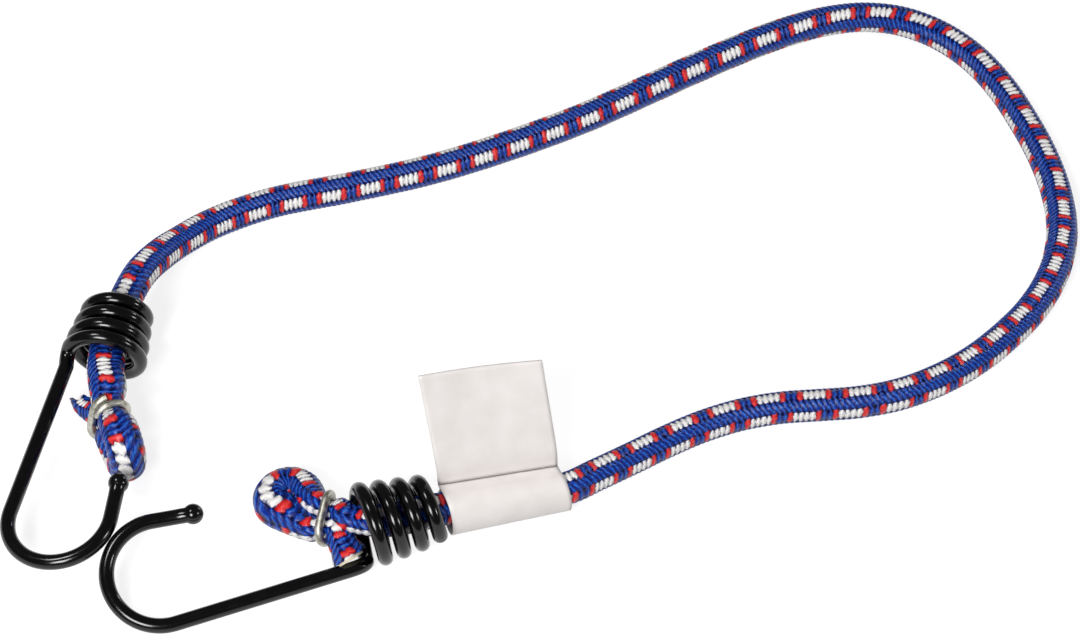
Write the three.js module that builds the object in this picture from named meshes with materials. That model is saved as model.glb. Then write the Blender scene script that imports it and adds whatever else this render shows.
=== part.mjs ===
// Bungee cord: an elastic cord in a woven sheath, crimped back on itself at both
// ends, with a wound wire hook riding on each end. Millimetres, +Z up, lying on z = 0.
import * as THREE from 'three';

// Driving dimensions, in millimetres and degrees
const cordDiameter = 8;
const sheathWall = 0.9;
const coreClearance = 0.3;
const cordSides = 8;
const foldSteps = 6;

const coatedWireDiameter = 3.55;
const coatWall = 0.45;
const wireClearance = 0.12;
const wireSides = 8;
const ballDiameter = 5;

const coilLargeRadius = 9;
const coilSmallRadius = 6.8;
const coilTurns = 3.93;
const coilSteps = 16;
const coilStartAngle = 161;
const cornerReach = 3;
const elbowReach = 4.5;
const cornerSteps = 4;
const shankLength = 46.8;
const shankSplay = 3;
const bendRadius = 12.6;
const bendOverturn = 7;
const bendSteps = 15;
const tipLength = 9.9;

const ringWireDiameter = 2;
const ringClearance = 0.4;
const ringOverlap = 55;
const leftRingStart = 17;
const rightRingStart = -117;
const ringSteps = 22;
const ringSideStep = 2.8;
const strandGap = 0.45;
const crimpLength = 6;
const ringFlatness = 4;

const labelWidth = 30;
const labelFilm = 0.4;
const labelClearance = 0.3;
const labelJoinReach = 2.8;
const labelFlagLength = 27.7;
const labelFlagLean = 25;
const labelFlagTwist = 3;
const labelFlagSag = 1.2;
const labelFlagBow = 1;
const labelSkewShare = 0.17;
const labelSlackFar = 1;
const labelSlackNear = 2.5;
const labelSteps = 6;
const labelArcSteps = 14;

// Girth of the cord along its length, as shares of its free diameter
const neckShare = 0.84;
const coilShare = 1.04;
const bulgeShare = 1.06;
const relaxedShare = 1.16;
const frayShare = 0.62;
const flareShare = 1.12;

// Where the part's origin lies on the layout in which all places below are given
const layoutOrigin = [-60, -51, 0.06];

// Where the two hooks sit: the middle of the coil's wide end, the heading and the
// tilt of the coil's axis towards the bend, and the roll that lifts the tip. The wire is
// wound by hand, so each has its own pitch, and its shank starts more or less far inside
// the coil
const leftHookPlace = {
  at: [-106.5, -23.4, 11.2], heading: -101.1, tilt: -4.8, roll: 8.6, flip: 1,
  inset: 1.2, pitch: 4.2,
};
const rightHookPlace = {
  at: [-42.7, -74.2, 11.3], heading: -164.6, tilt: -2.8, roll: 23.9, flip: -1,
  inset: 0, pitch: 4.6,
};

// The crimped ends. A crimp holds two strands side by side and a fold turns one into
// the other; lie is 0 where the strands lie flat and 90 where they are stacked,
// coilSide tells which of them goes on into the coil, crimpShare is their girth in the
// ring, and foldShare is the girth in the fold, which sweeps through an angle
const leftKnot = {
  coilSide: 1,
  crimpShare: 0.64,
  crimp: { middle: [-104.0, -40.0, 9.1], heading: -72, tilt: 0, lie: 78 },
  foldShare: 1.16,
  fold: { middle: [-100.5, -48.4, 9.6], heading: -68, tilt: 0, lie: 88, radius: 4.9, sweep: 180 },
};
const rightKnot = {
  coilSide: -1,
  crimpShare: 0.52,
  crimp: { middle: [-50.5, -69.3, 8.5], heading: 160, tilt: -8, lie: -25 },
  foldShare: 1.08,
  fold: { middle: [-59.9, -61.1, 4.9], heading: 148, tilt: -6, lie: 0, radius: 4.4, sweep: 210 },
};

// The cord's route from the left cut end to the right one: x, y, z and girth share
const leftTail = [
  [-112.9, -31.2, 4.8, frayShare],
  [-110.6, -33.2, 4.8, frayShare],
];
const leftInCoil = [
  [-104.6, -32.6, 12.2, relaxedShare],
  [-105.6, -27.0, 11.6, relaxedShare],
  [-105.4, -20.0, 11.6, relaxedShare],
  [-103.9, -12.0, 12.0, coilShare],
  [-102.2, -4.6, 12.2, coilShare],
];
const run = [
  [-99.2, 4.4, 11.6, coilShare],
  [-95.2, 12.3, 9.3, coilShare],
  [-90.4, 19.6, 6.5, 1],
  [-82.5, 27.4, 4.5, 1],
  [-68.4, 34.6, 4, 1],
  [-48.6, 39.9, 4, 1],
  [-28.6, 45.9, 4, 1],
  [-9, 54.0, 4, 1],
  [10.7, 63.8, 4, 1],
  [25.1, 72.4, 4, 1],
  [39.6, 81.3, 4, 1],
  [54.4, 89.9, 4, 1],
  [64.5, 95.0, 4, 1],
  [75, 99.0, 4, 1],
  [85.6, 100.8, 4, 1],
  [96.2, 99.3, 4, 1],
  [105.8, 94.2, 4, 1],
  [114.1, 86.0, 4, 1],
  [120.6, 75.4, 4, 1],
  [125.6, 63.3, 4, 1],
  [129.6, 50.7, 4, 1],
  [132.0, 37.8, 4, 1],
  [132.2, 24.4, 4, 1],
  [129.1, 11.5, 4, 1],
  [122.8, -0.4, 4, 1],
  [114.9, -9.9, 4, 1],
  [106.6, -17.6, 4, 1],
  [97.8, -23.5, 4, 1],
  [88, -28.0, 4, 1],
  [78.3, -30.4, 4, 1],
  [68.5, -31.4, 4, 1],
  [58.5, -32.3, 4, 1],
  [49, -34.4, 4, 1],
  [39.6, -38.0, 4, 1],
  [30.7, -42.7, 4, 1],
  [22.2, -48.0, 4.2, 1],
  [13.4, -54.0, 5.3, 1],
];
const labelEnd = [6.3, -58.9, 6.5];
const labelStart = [-22.9, -68.4, 11.1];
const rightInCoil = [
  [-27.4, -69.9, 11.6, bulgeShare],
  [-32.0, -71.3, 11.7, bulgeShare],
  [-37.4, -72.4, 11.6, 1],
  [-41.6, -72.1, 11.2, neckShare],
  [-45.5, -70.8, 11.0, neckShare],
];
const rightTail = [
  [-47.0, -75.6, 7.0, 0.85],
  [-46.0, -78.8, 6.2, flareShare],
];

// Materials, one for each kind of stuff
const materials = {
  sheath: { color: 0x1f4fae, roughness: 0.6, metalness: 0 },
  core: { color: 0xe9dcc0, roughness: 0.8, metalness: 0 },
  steel: { color: 0x9a9a98, roughness: 0.35, metalness: 1 },
  vinyl: { color: 0x0b0b0c, roughness: 0.25, metalness: 0 },
  zinc: { color: 0xb9bab6, roughness: 0.35, metalness: 1 },
  film: { color: 0xe9e8e6, roughness: 0.3, metalness: 0 },
};

const deg = THREE.MathUtils.degToRad;
const vec = (p) => new THREE.Vector3(p[0], p[1], p[2]);

const group = new THREE.Group();

function addPiece(name, geometry, stuff) {
  geometry.translate(-layoutOrigin[0], -layoutOrigin[1], -layoutOrigin[2]);
  const mesh = new THREE.Mesh(geometry, new THREE.MeshStandardMaterial(materials[stuff]));
  mesh.name = name;
  group.add(mesh);
}

// A closed skin over rings of points: the rings run along the outside of a piece and,
// if it is hollow, back along its bore, and the first ring joins the last one
function skinOverRings(rings, hollow) {
  const sides = rings[0].length;
  const positions = rings.flat().flatMap((p) => [p.x, p.y, p.z]);
  const index = [];
  const spans = hollow ? rings.length : rings.length - 1;
  for (let i = 0; i < spans; i += 1) {
    const here = i * sides;
    const next = ((i + 1) % rings.length) * sides;
    for (let j = 0; j < sides; j += 1) {
      const k = (j + 1) % sides;
      index.push(here + j, here + k, next + k, here + j, next + k, next + j);
    }
  }
  if (!hollow) {
    const last = (rings.length - 1) * sides;
    for (let j = 1; j < sides - 1; j += 1) {
      index.push(0, j + 1, j, last, last + j, last + j + 1);
    }
  }
  const geometry = new THREE.BufferGeometry();
  geometry.setAttribute('position', new THREE.Float32BufferAttribute(positions, 3));
  geometry.setIndex(index);
  return geometry;
}

// Frames that run along a row of points without twisting, from a first side direction
function framesAlong(points, firstSide) {
  let side = firstSide.clone();
  return points.map((at, i) => {
    const before = points[Math.max(i - 1, 0)];
    const after = points[Math.min(i + 1, points.length - 1)];
    const along = after.clone().sub(before).normalize();
    side = side.addScaledVector(along, -side.dot(along)).normalize();
    return { at, along, side: side.clone(), other: along.clone().cross(side) };
  });
}

function ringAt(frame, radius, sides) {
  const ring = [];
  for (let j = 0; j < sides; j += 1) {
    const angle = (2 * Math.PI * (j + 0.5)) / sides;
    ring.push(frame.at.clone()
      .addScaledVector(frame.side, radius * Math.cos(angle))
      .addScaledVector(frame.other, radius * Math.sin(angle)));
  }
  return ring;
}

function rodGeometry(frames, radii, sides) {
  return skinOverRings(frames.map((frame, i) => ringAt(frame, radii[i], sides)), false);
}

function sleeveGeometry(frames, outer, boreFrames, bore, sides) {
  const outside = frames.map((frame, i) => ringAt(frame, outer[i], sides));
  const inside = boreFrames.map((frame, i) => ringAt(frame, bore[i], sides)).reverse();
  return skinOverRings([...outside, ...inside], true);
}

// Directions of a crimp or a fold: out towards the turn-back, and across from strand
// to strand
function knotAxes(place) {
  const heading = deg(place.heading);
  const tilt = deg(place.tilt);
  const out = new THREE.Vector3(
    Math.cos(heading) * Math.cos(tilt),
    Math.sin(heading) * Math.cos(tilt),
    Math.sin(tilt),
  );
  const level = new THREE.Vector3(-Math.sin(heading), Math.cos(heading), 0);
  const up = out.clone().cross(level);
  const lie = deg(place.lie);
  const across = level.multiplyScalar(Math.cos(lie)).addScaledVector(up, Math.sin(lie));
  return { out, across };
}

const routePoint = (at, share) => [at.x, at.y, at.z, share];

// One strand's way through a crimp, from the coil's side to the fold
function crimpPoints(knot, side) {
  const { out, across } = knotAxes(knot.crimp);
  const offset = side * ((knot.crimpShare * cordDiameter) / 2 + strandGap / 2);
  return [-1, 0, 1].map((step) => {
    const at = vec(knot.crimp.middle)
      .addScaledVector(across, offset)
      .addScaledVector(out, (step * crimpLength) / 2);
    return routePoint(at, knot.crimpShare);
  });
}

// An arc from the coil's strand to the tail's
function foldPoints(knot) {
  const { out, across } = knotAxes(knot.fold);
  const points = [];
  for (let i = 0; i <= foldSteps; i += 1) {
    const angle = deg(knot.fold.sweep) * (i / foldSteps - 0.5);
    const at = vec(knot.fold.middle)
      .addScaledVector(out, knot.fold.radius * Math.cos(angle))
      .addScaledVector(across, -knot.coilSide * knot.fold.radius * Math.sin(angle));
    points.push(routePoint(at, knot.foldShare));
  }
  return points;
}

// A crimped end from the coil's strand round the fold to the tail
function knotPoints(knot) {
  return [
    ...crimpPoints(knot, knot.coilSide),
    ...foldPoints(knot),
    ...crimpPoints(knot, -knot.coilSide).reverse(),
  ];
}

// The straight length that the label wraps
const labelPoints = [1, 0.5, 0].map((share) => (
  routePoint(vec(labelStart).lerp(vec(labelEnd), share), 1)
));

const route = [
  ...leftTail, ...knotPoints(leftKnot).reverse(), ...leftInCoil, ...run, ...labelPoints,
  ...rightInCoil, ...knotPoints(rightKnot), ...rightTail,
];

// Stations on the route, with the cord's direction and half thickness at each
function cordStations() {
  const curve = new THREE.CatmullRomCurve3(route.map(vec), false, 'centripetal');
  return route.map((point, i) => ({
    at: vec(point),
    along: curve.getTangent(i / (route.length - 1)),
    radius: (point[3] * cordDiameter) / 2,
  }));
}

function cordFrames(stations) {
  let side = new THREE.Vector3(0, 0, 1);
  return stations.map(({ at, along }) => {
    side = side.addScaledVector(along, -side.dot(along)).normalize();
    return { at, along, side: side.clone(), other: along.clone().cross(side) };
  });
}

function addCord() {
  const stations = cordStations();
  const frames = cordFrames(stations);
  const outer = stations.map((station) => station.radius);
  const bore = outer.map((radius) => radius - sheathWall);
  const core = bore.map((radius) => radius - coreClearance);
  addPiece('cord_sheath', sleeveGeometry(frames, outer, frames, bore, cordSides), 'sheath');
  addPiece('rubber_core', rodGeometry(frames, core, cordSides), 'core');
}

const coilCount = Math.round(coilTurns * coilSteps);

// Centre line of the hook's wire in the hook's own axes: X runs along the coil from its
// narrow end to the bend, Y points to the tip. The wire ends at the coil's cut end.
function hookCentreline({ inset, pitch }) {
  const coilPoint = (turn) => {
    const radius = THREE.MathUtils.lerp(coilLargeRadius, coilSmallRadius, turn / coilTurns);
    const angle = deg(coilStartAngle) - 2 * Math.PI * turn;
    return new THREE.Vector3(-pitch * turn, radius * Math.cos(angle), radius * Math.sin(angle));
  };
  const corner = coilPoint(0);
  const splay = deg(shankSplay);
  const along = new THREE.Vector3(Math.cos(splay), -Math.sin(splay), 0);
  const inward = new THREE.Vector3(Math.sin(splay), Math.cos(splay), 0);
  const shankPoint = (x, y) => (
    corner.clone().addScaledVector(along, x).addScaledVector(inward, y + inset)
  );
  const sweep = Math.PI + deg(bendOverturn);
  const points = [];
  for (let i = bendSteps; i >= 0; i -= 1) {
    const angle = (sweep * i) / bendSteps;
    const reach = shankLength + bendRadius * Math.sin(angle);
    points.push(shankPoint(reach, bendRadius * (1 - Math.cos(angle))));
  }
  points.push(shankPoint(shankLength / 2, 0));
  const cornerTurn = cornerReach / (2 * Math.PI * coilLargeRadius);
  const elbowStart = shankPoint(elbowReach, 0);
  const elbow = new THREE.QuadraticBezierCurve3(elbowStart, corner, coilPoint(cornerTurn));
  points.push(...elbow.getPoints(cornerSteps));
  for (let i = 1; i <= coilCount; i += 1) {
    points.push(coilPoint(cornerTurn + ((coilTurns - cornerTurn) * i) / coilCount));
  }
  const toTip = along.clone().multiplyScalar(Math.cos(sweep)).addScaledVector(inward, Math.sin(sweep));
  return { points, toTip };
}

// Least gap between neighbouring turns of the coil, measured on the wire's points
function leastCoilGap(points) {
  const coil = points.slice(-coilCount);
  let least = Infinity;
  coil.forEach((a, i) => {
    coil.slice(i + coilSteps / 2).forEach((b) => {
      least = Math.min(least, a.distanceTo(b));
    });
  });
  return least - coatedWireDiameter;
}

// Rings of the ball at the tip: how far ahead of its middle, as shares of its radius
const ballShares = [0.95, 0.8, 0.5, 0.1, -0.3, -0.62];

function hookGeometries(place) {
  const coatRadius = coatedWireDiameter / 2;
  const boreRadius = coatRadius - coatWall;
  const wireRadius = boreRadius - wireClearance;
  const ballRadius = ballDiameter / 2;
  const { points, toTip } = hookCentreline(place);
  const tipPoint = (reach) => points[0].clone().addScaledVector(toTip, reach);
  const neck = tipPoint(tipLength - ballRadius);
  const planeNormal = new THREE.Vector3(0, 0, 1);

  const ball = ballShares.map((share) => tipPoint(tipLength + share * ballRadius));
  const outside = framesAlong([...ball, neck, ...points], planeNormal);
  const outer = outside.map(() => coatRadius);
  ballShares.forEach((share, i) => {
    outer[i] = ballRadius * Math.sqrt(1 - share * share);
  });
  const bore = framesAlong([tipPoint(tipLength), neck, ...points], planeNormal);
  const wire = framesAlong([tipPoint(tipLength - wireClearance), neck, ...points], planeNormal);
  console.log(`least gap between coil turns: ${leastCoilGap(points).toFixed(2)} mm`);

  const shellRings = outside.map((frame, i) => ringAt(frame, outer[i], wireSides));
  const boreRings = bore.map((frame) => ringAt(frame, boreRadius, wireSides)).reverse();
  return {
    coating: skinOverRings([...shellRings, ...boreRings], false),
    wire: rodGeometry(wire, wire.map(() => wireRadius), wireSides),
  };
}

// The hook's own axes, placed on the coil's wide end
function hookPlacement(place) {
  const heading = deg(place.heading);
  const tilt = deg(place.tilt);
  const roll = deg(place.roll);
  const axis = new THREE.Vector3(
    Math.cos(heading) * Math.cos(tilt),
    Math.sin(heading) * Math.cos(tilt),
    Math.sin(tilt),
  );
  const level = new THREE.Vector3(-Math.sin(heading), Math.cos(heading), 0).multiplyScalar(place.flip);
  const up = axis.clone().cross(level).multiplyScalar(place.flip);
  const toTip = level.multiplyScalar(Math.cos(roll)).addScaledVector(up, Math.sin(roll));
  const third = axis.clone().cross(toTip);
  return new THREE.Matrix4().makeBasis(axis, toTip, third).setPosition(vec(place.at));
}

function addHook(side, place) {
  const { coating, wire } = hookGeometries(place);
  const placement = hookPlacement(place);
  addPiece(`${side}_hook_coating`, coating.applyMatrix4(placement), 'vinyl');
  addPiece(`${side}_hook_wire`, wire.applyMatrix4(placement), 'steel');
}

// A wire ring bent round the two strands of a crimped end, its ends lying side by side
function addCrimpRing(side, knot, startAngle) {
  const strandRadius = (knot.crimpShare * cordDiameter) / 2;
  const around = strandRadius + ringClearance + ringWireDiameter / 2;
  const halfApart = strandRadius + strandGap / 2;
  const { out, across } = knotAxes(knot.crimp);
  const third = out.clone().cross(across);
  const points = [];
  for (let i = 0; i <= ringSteps; i += 1) {
    const angle = deg(startAngle + ((360 + ringOverlap) * i) / ringSteps);
    const straight = halfApart * Math.tanh(ringFlatness * Math.cos(angle));
    points.push(vec(knot.crimp.middle)
      .addScaledVector(across, straight + around * Math.cos(angle))
      .addScaledVector(third, around * Math.sin(angle))
      .addScaledVector(out, ringSideStep * (i / ringSteps - 0.5)));
  }
  const frames = framesAlong(points, out);
  const radii = frames.map(() => ringWireDiameter / 2);
  addPiece(`${side}_crimp_ring`, rodGeometry(frames, radii, wireSides), 'zinc');
}

// The label's section, changed along its width from its near end to its far one: the
// wrap hangs slack below the cord, more so at its near end, and the flag's near edge
// leans further back than its far one, with the middle bowed back
function slackenLabel(geometry, outer, join) {
  const position = geometry.getAttribute('position');
  for (let i = 0; i < position.count; i += 1) {
    const far = position.getZ(i) / labelWidth;
    const x = position.getX(i);
    const slack = THREE.MathUtils.lerp(labelSlackNear, labelSlackFar, far);
    const lean = Math.tan(deg(labelFlagTwist) * (1 - far));
    const bow = (labelFlagBow / labelFlagLength) * Math.sin(Math.PI * far);
    const above = Math.max(x - join, 0);
    position.setX(i, x + (slack / outer) * Math.min(x, 0));
    position.setY(i, position.getY(i) - (lean + bow) * above);
  }
}

// A film label wrapped round the cord: its two leaves leave the cord at a tangent, meet
// behind it and stand up as one flag
function addLabel() {
  const inner = (cordDiameter / 2) + labelClearance;
  const outer = inner + labelFilm;
  const join = outer + labelJoinReach;
  const innerJoin = join - 2 * labelFilm;
  const flagEnd = join + labelFlagLength;
  const drop = (radius, tip, shape) => {
    const open = Math.acos(radius / tip);
    shape.absarc(0, 0, radius, open, 2 * Math.PI - open, false);
    return shape;
  };
  const outline = drop(outer, join, new THREE.Shape());
  for (let i = 0; i <= labelSteps; i += 1) {
    const share = i / labelSteps;
    outline.lineTo(join + share * (flagEnd - join), -labelFilm + labelFlagSag * share * share);
  }
  for (let i = labelSteps; i >= 0; i -= 1) {
    const share = i / labelSteps;
    outline.lineTo(join + share * (flagEnd - join), labelFilm + labelFlagSag * share * share);
  }
  const hole = drop(inner, innerJoin, new THREE.Path());
  hole.lineTo(innerJoin, 0);
  outline.holes.push(hole);
  const geometry = new THREE.ExtrudeGeometry(outline, {
    depth: labelWidth, steps: labelSteps, bevelEnabled: false, curveSegments: labelArcSteps,
  });
  slackenLabel(geometry, outer, join);
  const start = vec(labelStart);
  const end = vec(labelEnd);
  const along = end.clone().sub(start).normalize();
  const back = new THREE.Vector3(-along.y, along.x, 0).normalize();
  const up = along.clone().cross(back);
  const lean = deg(labelFlagLean);
  const flag = up.clone().multiplyScalar(Math.cos(lean)).addScaledVector(back, Math.sin(lean));
  const third = along.clone().cross(flag);
  const corner = start.clone().add(end).multiplyScalar(0.5).addScaledVector(along, -labelWidth / 2);
  flag.addScaledVector(along, -labelSkewShare);
  geometry.applyMatrix4(new THREE.Matrix4().makeBasis(flag, third, along).setPosition(corner));
  addPiece('wrap_label', geometry, 'film');
}

addCord();
addHook('left', leftHookPlace);
addHook('right', rightHookPlace);
addCrimpRing('left', leftKnot, leftRingStart);
addCrimpRing('right', rightKnot, rightRingStart);
addLabel();

export default group;
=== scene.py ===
"""Bungee cord: a woven elastic cord with a dipped wire hook crimped on at each end."""

import functools
import math

import bpy
import numpy as np
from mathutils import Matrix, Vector


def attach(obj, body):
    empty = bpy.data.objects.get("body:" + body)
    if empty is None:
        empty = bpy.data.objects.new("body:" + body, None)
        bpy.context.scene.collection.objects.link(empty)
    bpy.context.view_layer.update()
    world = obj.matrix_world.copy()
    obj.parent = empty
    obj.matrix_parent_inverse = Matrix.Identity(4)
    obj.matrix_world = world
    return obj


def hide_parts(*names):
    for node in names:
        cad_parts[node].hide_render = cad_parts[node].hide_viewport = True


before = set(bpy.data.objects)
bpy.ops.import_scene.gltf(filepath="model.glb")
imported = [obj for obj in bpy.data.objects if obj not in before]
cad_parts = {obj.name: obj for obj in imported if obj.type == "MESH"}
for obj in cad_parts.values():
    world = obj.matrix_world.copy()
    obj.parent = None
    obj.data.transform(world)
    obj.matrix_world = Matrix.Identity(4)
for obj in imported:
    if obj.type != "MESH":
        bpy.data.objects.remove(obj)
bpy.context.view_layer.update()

bl_info = {
    "name": "Bungee Cord",
    "version": (1, 0, 0),
    "blender": (4, 5, 0),
    "location": "View3D > Sidebar > Bungee",
    "description": "Makes a woven elastic cord with its wire hooks, crimp rings and label",
    "category": "Add Mesh",
}

MM = 0.001

# The photograph's width and the focal length that fits it, in pixels, the camera's film in
# mm, and where the camera stands, in metres, and how far it is raised from looking down
PHOTO_WIDTH = 1080
PHOTO_FOCAL = 3800
FILM_WIDTH = 36
CAMERA_AT = (0.060, -0.5596, 0.7276)
CAMERA_RISE = 40

# Where the part's origin lies on the layout in which the places below are given, in mm
LAYOUT_ORIGIN = np.array((-60, -51, 0.06))

# The cord's girth along its length, as shares of its free diameter
NECK_SHARE = 0.84
COIL_SHARE = 1.04
BULGE_SHARE = 1.06
RELAXED_SHARE = 1.16
FRAY_SHARE = 0.62
FLARE_SHARE = 1.12

# The two crimped ends: a crimp holds two strands side by side and they swell out of it
# to the mouth's girth and a little apart, a fold that sweeps some degrees turns one into
# the other, and ring_start is where the ring's wire begins
STRAND_GAP = 0.45
CRIMP_LENGTH = 6
FOLD_STEPS = 6
LEFT_KNOT = {
    "coil_side": 1, "crimp_share": 0.64,
    "mouth_share": 0.98, "mouth_parts": 0.2, "fold_share": RELAXED_SHARE,
    "crimp": {"middle": (-104.0, -40.0, 9.1), "heading": -72, "tilt": 0, "lie": 78},
    "fold": {"middle": (-100.6, -47.6, 9.6), "heading": -68, "tilt": 0, "lie": 88},
    "fold_radius": 4.9, "sweep": 180, "ring_start": 17,
}
RIGHT_KNOT = {
    "coil_side": -1, "crimp_share": 0.52,
    "mouth_share": 0.84, "mouth_parts": 0.7, "fold_share": 1.2,
    "crimp": {"middle": (-50.5, -69.3, 8.5), "heading": 160, "tilt": -8, "lie": -25},
    "fold": {"middle": (-59.9, -61.1, 5.2), "heading": 148, "tilt": -6, "lie": 0},
    "fold_radius": 3.95, "sweep": 210, "ring_start": -117,
}

# The cord's route from the left cut end to the right one: x, y, z and girth share
LEFT_TAIL = [
    (-112.3, -29.4, 5.4, FRAY_SHARE),
    (-111.0, -32.6, 5.0, FRAY_SHARE),
]
LEFT_IN_COIL = [
    (-104.6, -32.6, 12.2, RELAXED_SHARE),
    (-105.6, -27.0, 11.6, RELAXED_SHARE),
    (-105.4, -20.0, 11.6, RELAXED_SHARE),
    (-103.9, -12.0, 12.0, COIL_SHARE),
    (-102.2, -4.6, 12.2, COIL_SHARE),
]
LEFT_RISE = [
    (-99.2, 4.4, 11.6, COIL_SHARE),
    (-95.2, 12.3, 9.3, COIL_SHARE),
    (-90.4, 19.6, 6.5, 1),
    (-82.5, 27.4, 4.5, 1),
]
# On the ground only x and y change
GROUND_HEIGHT = 4
ON_GROUND = [
    (-68.4, 34.6), (-48.6, 39.9), (-28.6, 45.9), (-9, 54.0), (10.7, 63.8), (25.1, 72.4),
    (39.6, 81.3), (54.4, 89.9), (64.5, 95.0), (75, 99.0), (85.6, 100.8), (96.2, 99.3),
    (105.8, 94.2), (114.1, 86.0), (120.6, 75.4), (125.6, 63.3), (129.6, 50.7),
    (132.0, 37.8), (132.2, 24.4), (129.1, 11.5), (122.8, -0.4), (114.9, -9.9),
    (106.6, -17.6), (97.8, -23.5), (88, -28.0), (78.3, -30.4), (68.5, -31.4),
    (58.5, -32.3), (49, -34.4), (39.6, -38.0), (30.7, -42.7),
]
RIGHT_RISE = [
    (22.2, -48.0, 4.2, 1),
    (13.4, -54.0, 5.3, 1),
]
LABEL_END = (6.3, -58.9, 6.5)
LABEL_START = (-22.9, -68.4, 11.1)
RIGHT_IN_COIL = [
    (-27.4, -69.9, 11.6, BULGE_SHARE),
    (-32.0, -71.3, 11.7, BULGE_SHARE),
    (-37.4, -72.4, 11.6, 1),
    (-41.6, -72.1, 11.2, NECK_SHARE),
    (-45.5, -70.8, 11.0, NECK_SHARE),
]
RIGHT_TAIL = [
    (-46.5, -75.6, 7.0, 0.9),
    (-44.7, -79.1, 6.0, FLARE_SHARE),
]

# The braid: yarns in one repeat of its colours, quarter turns in one turn, the yarns by
# which each column is set on from the last, and where its white group's middle and the red
# picks beside it lie. A pick of a coloured column reaches this far round from its middle,
# in quarter turns, less at its edges, and the picks and the ground yarns lean by these
# yarns in a quarter turn. The yarns' ends are rounded by this power
REPEAT = 8
QUARTERS = 4
COLUMN_STEP = 2
GROUP_MIDDLE = 3
RED_FROM_MIDDLE = 2.5
PICK_REACH = 0.12
PICK_POINT = 0.18
RED_REACH = 0.07
GROUND_REACH = 0.17
GROUND_POINT = 0.15
PICK_LEAN = 0.4
GROUND_LEAN = -2.3
ROUNDING = 4

# How many yarns lie before a place, in mm along the cord: the braid is drawn tight in the
# run, lies loose in the folds and bunches in the crimps
YARN_MARKS = [
    (0, -56.5), (30.8, -35.5), (35.8, -32.5), (38.2, -29.5), (40, -28.5), (49, -24.5),
    (54, -21.5), (61.5, -16.5), (92.5, 3), (223.5, 107), (234, 115), (300.5, 163),
    (390.5, 227), (438.5, 267), (476.5, 299), (555.3, 355), (615.9, 396.5), (639, 411),
    (645.5, 416.5), (652.3, 420), (656.6, 421.5), (663.8, 424.5), (672.6, 429.5),
    (676.8, 432.5), (680, 435),
]
# The angle of the first column round the cord, from the top towards the right of its way
COLUMN_ANGLES = [
    (0, 105), (18, 95), (31.3, 60), (35.3, 51), (39.1, 57), (51.5, 84), (57.5, 80),
    (93.5, 76), (128.5, 68), (168.5, 60), (218.5, 53), (258.5, 46), (288.5, 38),
    (308.5, 21), (328.5, 7), (348.5, 3), (368.5, -6), (388.5, -12), (398.5, -6),
    (408.5, -4), (428.5, 2), (468.5, 6), (558.5, 9), (617, -9), (632, 12), (645.5, 14),
    (654, 8), (668, 8), (680, 16),
]

# The slanted plane of the right end's cut, how far back the end is drawn to it, and the
# power by which both ends' changes fade along the cord
CUT_NORMAL = (0.53, -0.65, -0.545)
CUT_REACH = 5
END_FADE = 1.5

# The frayed left end: how far back it is open, which way its mouth faces, and how much
# its upper side, by a power that narrows the notch, and its right lip are pushed back and
# its lips spread
MOUTH_REACH = 8
MOUTH_FACES = (-0.3, -0.61, 0.73)
MOUTH_NOTCH = 3.5
NOTCH_POWER = 6
MOUTH_DROP = 2.8
MOUTH_SPREAD = 0.2

# How the two hooks lie: the middle of the coil's wide end, the heading and tilt of the
# coil's axis towards the bend, the lie of the tip, the shank's inset and the coil's pitch
LEFT_HOOK = {
    "at": (-106.5, -23.4, 11.2), "heading": -101.1, "tilt": -4.8, "lie": 8.6,
    "inset": 1.2, "pitch": 4.2,
}
RIGHT_HOOK = {
    "at": (-42.7, -74.2, 11.3), "heading": -164.6, "tilt": -2.8, "lie": 156.1,
    "inset": 0, "pitch": 4.6,
}

# The stage: the floor's side in metres and its own share of whiteness, the sky's strength,
# and the lamps: their distance from the cord's middle in metres, then each one's name, the
# way it stands, its side in metres and its power in watts
FLOOR_SIDE = 6
FLOOR_GLOW = 0.8
SKY_STRENGTH = 0.12
CORD_MIDDLE = (0.06, 0.05, 0)
LAMP_DISTANCE = 1.2
LAMPS = [
    ("high_left", (-0.45, -0.02, 0.89), 0.26, 3.8),
    ("right", (0.85, -0.25, 0.46), 0.22, 2.8),
    ("low_back", (0.68, 0.68, 0.26), 0.2, 1.4),
    ("front", (-0.3, -0.72, 0.62), 0.42, 11.0),
]


# Sizes and colours that a user would change


def length(name, description, default):
    """A length property, given here in mm."""
    return bpy.props.FloatProperty(
        name=name, description=description, default=default * MM, unit="LENGTH",
    )


class BungeeSizes(bpy.types.PropertyGroup):
    """Sizes of the cord and of the pieces on it"""

    cord_diameter: length("Cord", "Diameter of the cord over its yarns", 8)
    sheath_wall: length("Sheath", "Thickness of the woven sheath", 0.9)
    yarn_relief: length("Yarn relief", "Depth of the grooves between the yarns", 0.2)
    hook_wire: length("Dipped wire", "Diameter of the hook's wire with its coating", 3.7)
    hook_coat: length("Coating", "Thickness of the coating on the wire", 0.45)
    ball: length("Tip ball", "Diameter of the ball at the hook's tip", 5)
    ring_wire: length("Ring wire", "Diameter of the crimp ring's wire", 2.1)
    label_width: length("Label width", "Width of the label along the cord", 30)
    label_film: length("Label film", "Thickness of the label's film", 0.25)


def swatch(name, part, default):
    """A colour property that holds the sRGB hex value of a part."""
    return bpy.props.StringProperty(
        name=name, description=f"Colour of the {part}", default=default,
    )


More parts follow.
